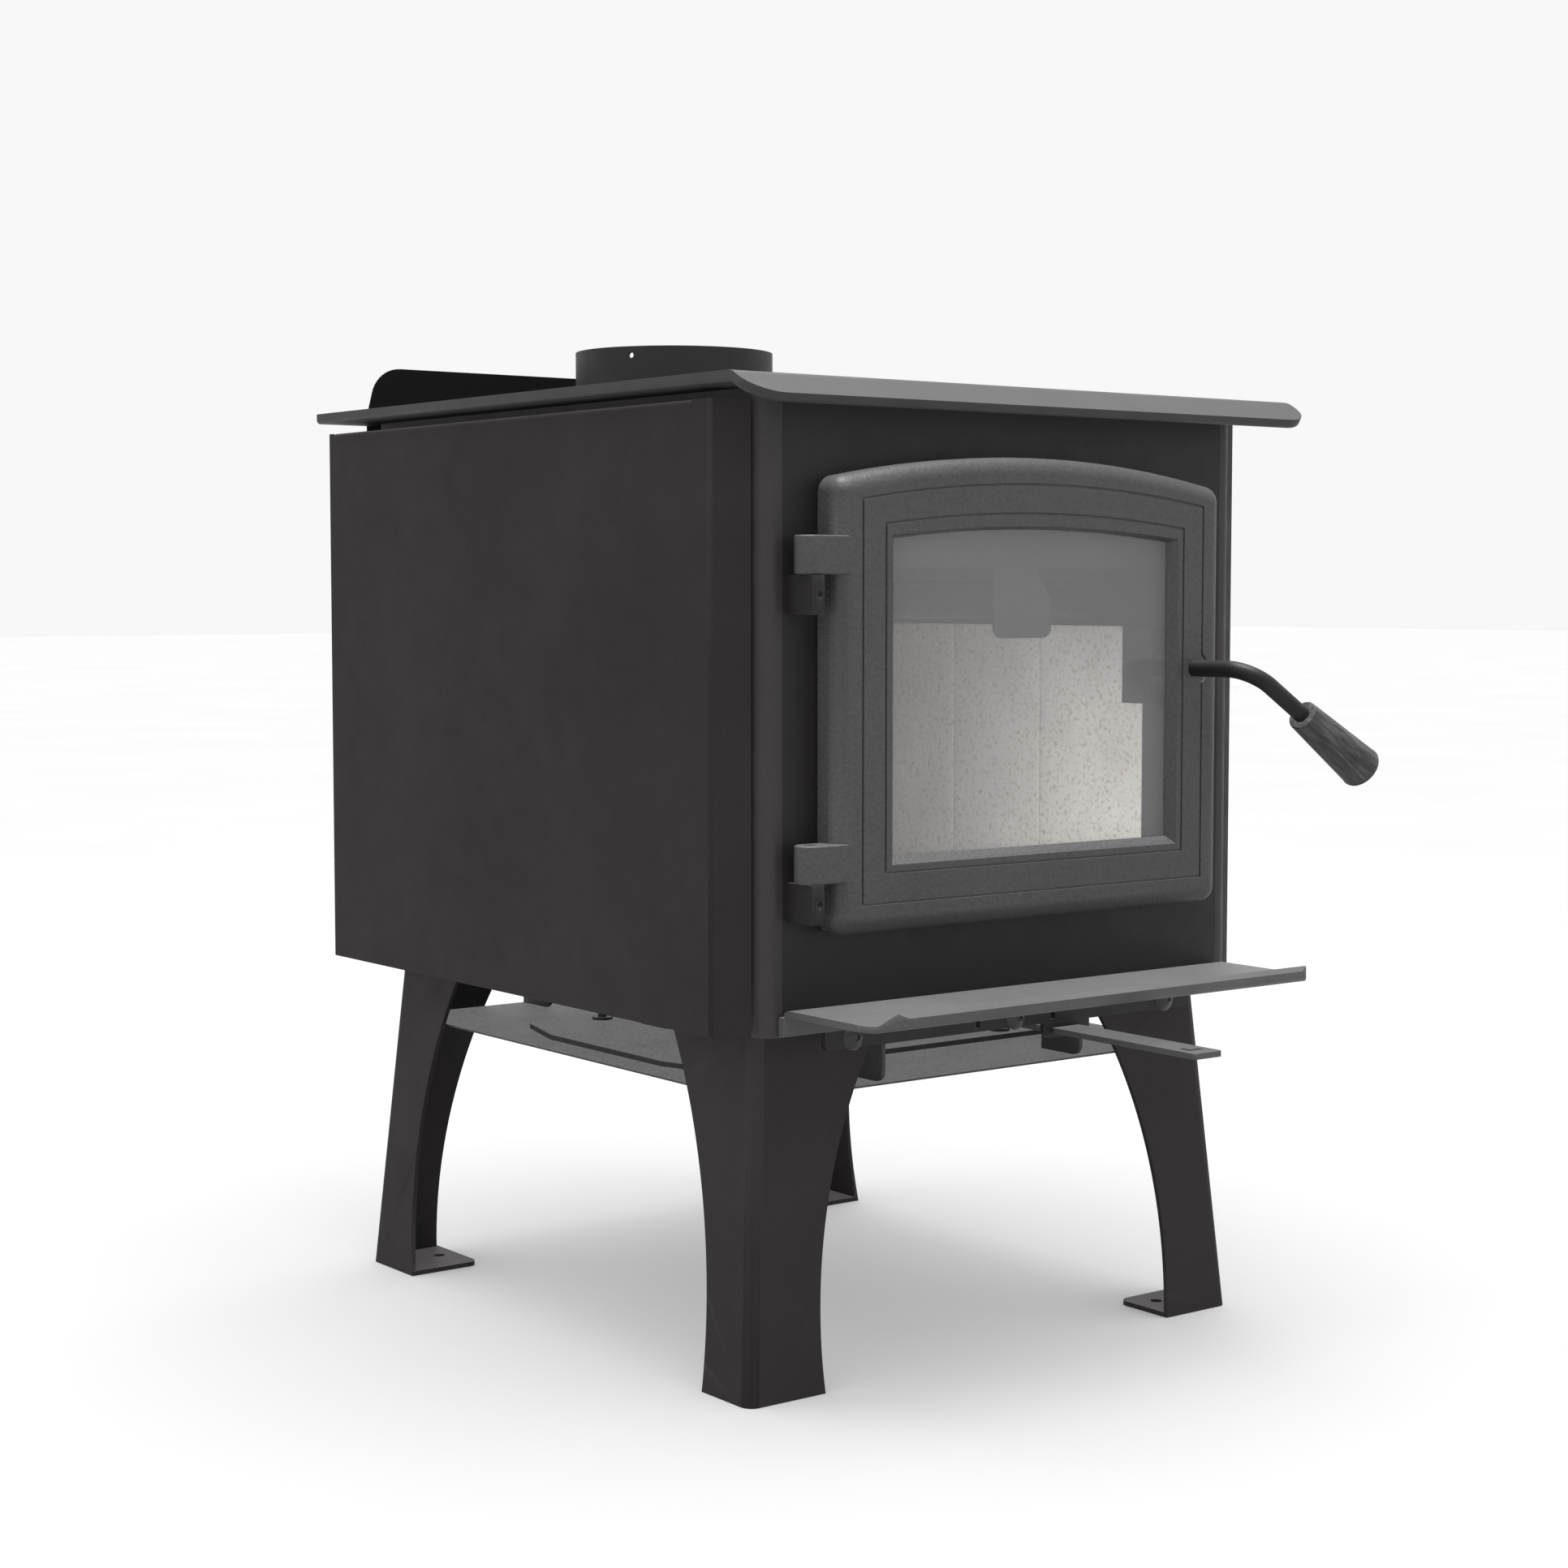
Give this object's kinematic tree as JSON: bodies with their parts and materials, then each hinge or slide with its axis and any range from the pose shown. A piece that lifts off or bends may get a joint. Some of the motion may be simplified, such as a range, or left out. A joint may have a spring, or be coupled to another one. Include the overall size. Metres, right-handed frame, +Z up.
{
  "type": "wood burning stove",
  "caption": "Free-standing steel wood stove on four folded legs, with a glazed cast door, turning latch handle, sliding air lever, ash lip and round flue collar.",
  "frame": {"origin": "centre of the four feet's bolt pattern, on the floor", "axes": "+X to the right across the stove, +Y to the rear, +Z up; the door faces -Y"},
  "size_m": [0.5241, 0.6863, 0.7265],
  "materials": {
    "firebox_steel": "matt high-temperature paint",
    "top_steel": "matt high-temperature paint, grey",
    "flue_steel": "matt high-temperature paint",
    "panel_steel": "matt high-temperature paint",
    "shield_steel": "bare and lightly painted sheet",
    "duct_steel": "heat-darkened steel",
    "fastener_steel": "blackened",
    "firebrick": "porous refractory",
    "baffle_board": "pressed refractory board",
    "blanket": "ceramic fibre",
    "cast_iron": "painted casting with fine sand texture",
    "glass": "clear ceramic glass",
    "rope_seal": "braided glass-fibre rope",
    "handle_steel": "black",
    "grip_wood": "black stained wood",
    "lever_steel": "black"
  },
  "bodies": {
    "stove": {"left_wall": "firebox_steel", "right_wall": "firebox_steel", "front_plate": "firebox_steel", "rear_wall": "firebox_steel", "bottom_plate": "firebox_steel", "hinge_brackets": "firebox_steel", "latch_box": "firebox_steel", "front_beam": "firebox_steel", "lever_guide": "firebox_steel", "top_plate": "top_steel", "ash_lip": "top_steel", "flue_collar": "flue_steel", "left_side_panel": "panel_steel", "right_side_panel": "panel_steel", "front_left_leg": "panel_steel", "front_right_leg": "panel_steel", "rear_left_leg": "panel_steel", "rear_right_leg": "panel_steel", "rear_heat_shield": "shield_steel", "bottom_heat_shield": "shield_steel", "shield_hangers": "shield_steel", "panel_brackets": "shield_steel", "rear_shield_spacers": "shield_steel", "air_box": "duct_steel", "damper_guides": "duct_steel", "front_air_manifold": "duct_steel", "left_air_riser": "duct_steel", "right_air_riser": "duct_steel", "airwash_deflector": "duct_steel", "rear_air_duct": "duct_steel", "left_air_channel": "duct_steel", "right_air_channel": "duct_steel", "rear_air_channel": "duct_steel", "secondary_air_tubes": "duct_steel", "leg_bolts": "fastener_steel", "beam_bolts": "fastener_steel", "shield_studs": "fastener_steel", "hinge_pins": "fastener_steel", "hinge_set_screws": "fastener_steel", "floor_bricks": "firebrick", "left_bricks": "firebrick", "right_bricks": "firebrick", "rear_bricks": "firebrick", "baffle_boards": "baffle_board", "insulation_blanket": "blanket"},
    "door": {"door_frame": "cast_iron", "door_glass": "glass", "glass_gasket": "rope_seal", "glass_clips": "fastener_steel", "clip_screws": "fastener_steel", "door_gasket": "rope_seal"},
    "handle": {"handle_rod": "handle_steel", "handle_grip": "grip_wood", "latch_finger": "handle_steel", "latch_sleeve": "handle_steel", "latch_nut": "fastener_steel"},
    "air_control": {"air_lever": "lever_steel", "damper_plate": "lever_steel", "damper_rivets": "fastener_steel"}
  },
  "joints": [
    {"name": "door_swing", "type": "hinge", "parent": "stove", "child": "door", "pos_m": [-0.1917, -0.279, 0.45], "axis": [0, 0, -1], "range_deg": [0, 115]},
    {"name": "handle_turn", "type": "hinge", "parent": "door", "child": "handle", "pos_m": [0.148, -0.289, 0.4814], "axis": [0, -1, 0], "range_deg": [0, 90]},
    {"name": "air_slide", "type": "slide", "parent": "stove", "child": "air_control", "axis": [0, 1, 0], "range_m": [0, 0.05]}
  ]
}
